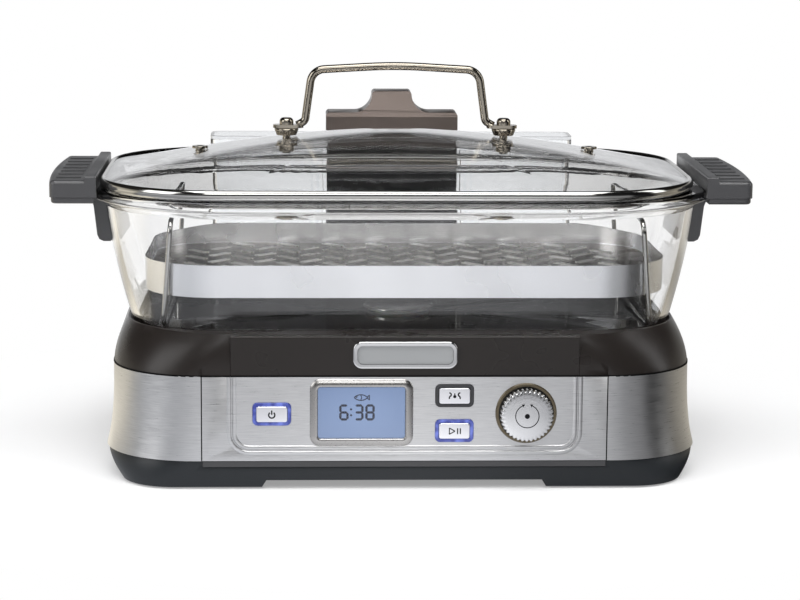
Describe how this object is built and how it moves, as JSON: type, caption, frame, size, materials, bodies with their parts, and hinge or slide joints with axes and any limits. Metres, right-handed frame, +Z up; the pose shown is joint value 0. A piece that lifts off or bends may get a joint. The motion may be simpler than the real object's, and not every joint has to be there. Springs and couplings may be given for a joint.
{
  "type": "electric food steamer",
  "caption": "Countertop food steamer with a brushed steel control base, clear rear water tank, lift-off glass pot, pierced steel tray and a domed glass lid.",
  "frame": {"origin": "under the middle of the whole part, on the surface it stands on", "axes": "+Z up, -Y towards the control panel, +X to the right of someone facing it"},
  "size_m": [0.431, 0.287, 0.2443],
  "materials": {
    "brushed_steel_skin": "horizontally brushed stainless",
    "polished_steel": "polished stainless",
    "steel_wire": "polished stainless wire",
    "zinc_fastener": "zinc plated steel",
    "charcoal_plastic": "fine satin moulding",
    "bronze_plastic": "polished dark bronze moulding",
    "grey_plastic": "satin moulding",
    "handle_plastic": "fine satin moulding",
    "spine_plastic": "polished moulding",
    "grip_plastic": "bronze polished moulding",
    "clear_plastic": "clear moulding",
    "silver_plastic": "silver satin plating",
    "badge_grey": "grey satin plate",
    "blue_ring_plastic": "translucent, lit from behind",
    "dark_ring_plastic": "satin moulding",
    "window_plastic": "clear lens",
    "lcd_glass": "backlit liquid crystal panel",
    "circuit_board": "solder mask",
    "switch_plastic": "satin moulding",
    "encoder_metal": "plated steel",
    "shaft_steel": "turned steel",
    "knob_plating": "spun satin metal",
    "glass": "clear tempered glass",
    "silicone": "translucent silicone",
    "black_rubber": "soft rubber",
    "cast_aluminium": "as cast",
    "heater_tube": "sheathed heater",
    "thermostat_body": "moulded thermostat",
    "pump_coil": "coil moulding"
  },
  "bodies": {
    "base": {"base_pan": "charcoal_plastic", "rubber_feet": "black_rubber", "left_steel_wrap": "brushed_steel_skin", "right_steel_wrap": "brushed_steel_skin", "rear_panel": "charcoal_plastic", "power_inlet": "switch_plastic", "front_fascia": "brushed_steel_skin", "fascia_carrier": "grey_plastic", "display_bezel": "silver_plastic", "display_window": "window_plastic", "lcd_module": "lcd_glass", "lit_button_rings": "blue_ring_plastic", "steam_button_ring": "dark_ring_plastic", "tact_switches": "switch_plastic", "control_board": "circuit_board", "encoder_body": "encoder_metal", "knob_ring": "bronze_plastic", "deck_trim": "bronze_plastic", "front_trim": "bronze_plastic", "badge_bezel": "polished_steel", "badge_inset": "badge_grey", "base_screws": "zinc_fastener", "boiler_body": "cast_aluminium", "heating_element": "heater_tube", "thermostat": "thermostat_body", "steam_spout": "silicone", "water_pump": "pump_coil", "feed_hose": "silicone", "boiler_hose": "silicone", "power_board": "circuit_board", "tank_socket": "charcoal_plastic"},
    "power_key": {"power_button": "silver_plastic"},
    "steam_key": {"steam_button": "silver_plastic"},
    "start_key": {"start_button": "silver_plastic"},
    "dial_rotor": {"encoder_rotor": "encoder_metal"},
    "dial": {"encoder_shaft": "shaft_steel", "knob_cap": "knob_plating"},
    "tank": {"tank_body": "clear_plastic", "tank_cover": "clear_plastic", "tank_spine": "spine_plastic", "valve_seal": "black_rubber"},
    "tank_lid": {"tank_cap": "grip_plastic"},
    "tank_valve": {"valve_plunger": "black_rubber"},
    "pot": {"pot_glass": "glass", "pot_seal": "silicone", "steam_inlet_cap": "polished_steel", "left_handle": "handle_plastic", "right_handle": "handle_plastic", "left_handle_clamp": "handle_plastic", "right_handle_clamp": "handle_plastic", "handle_screws": "zinc_fastener"},
    "tray": {"steam_tray": "polished_steel", "tray_wires": "steel_wire"},
    "lid": {"lid_glass": "glass", "lid_rim": "polished_steel", "lid_handle": "steel_wire", "handle_washers": "zinc_fastener", "handle_bolts": "zinc_fastener", "handle_nuts": "zinc_fastener", "vent_grommets": "zinc_fastener"}
  },
  "joints": [
    {"name": "pot_lift", "type": "slide", "parent": "base", "child": "pot", "axis": [0, 0, 1], "range_m": [0, 0.15]},
    {"name": "lid_lift", "type": "slide", "parent": "pot", "child": "lid", "axis": [0, 0, 1], "range_m": [0, 0.12]},
    {"name": "tray_lift", "type": "slide", "parent": "pot", "child": "tray", "axis": [0, 0, 1], "range_m": [0, 0.06]},
    {"name": "tank_lift", "type": "slide", "parent": "base", "child": "tank", "axis": [0, 0, 1], "range_m": [0, 0.12]},
    {"name": "tank_cap_lift", "type": "slide", "parent": "tank", "child": "tank_lid", "axis": [0, 0, 1], "range_m": [0, 0.05]},
    {"name": "tank_valve_close", "type": "slide", "parent": "tank", "child": "tank_valve", "axis": [0, 0, -1], "range_m": [0, 0.0032]},
    {"name": "power_press", "type": "slide", "parent": "base", "child": "power_key", "axis": [0, 1, 0], "range_m": [0, 0.001], "stiffness_N_per_m": 600, "springref_m": -0.0015},
    {"name": "steam_press", "type": "slide", "parent": "base", "child": "steam_key", "axis": [0, 1, 0], "range_m": [0, 0.001], "stiffness_N_per_m": 600, "springref_m": -0.0015},
    {"name": "start_press", "type": "slide", "parent": "base", "child": "start_key", "axis": [0, 1, 0], "range_m": [0, 0.001], "stiffness_N_per_m": 600, "springref_m": -0.0015},
    {"name": "dial_turn", "type": "hinge", "parent": "base", "child": "dial_rotor", "pos_m": [0.0718, -0.126, 0.0463], "axis": [0, 1, 0], "continuous": true},
    {"name": "dial_press", "type": "slide", "parent": "dial_rotor", "child": "dial", "axis": [0, 1, 0], "range_m": [0, 0.0008], "stiffness_N_per_m": 1200, "springref_m": -0.0015}
  ],
  "couplings": [
    {"joint": "tray_lift", "follows": "lid_lift", "ratio": 0.5},
    {"joint": "tank_valve_close", "follows": "tank_lift", "ratio": 0.02}
  ]
}
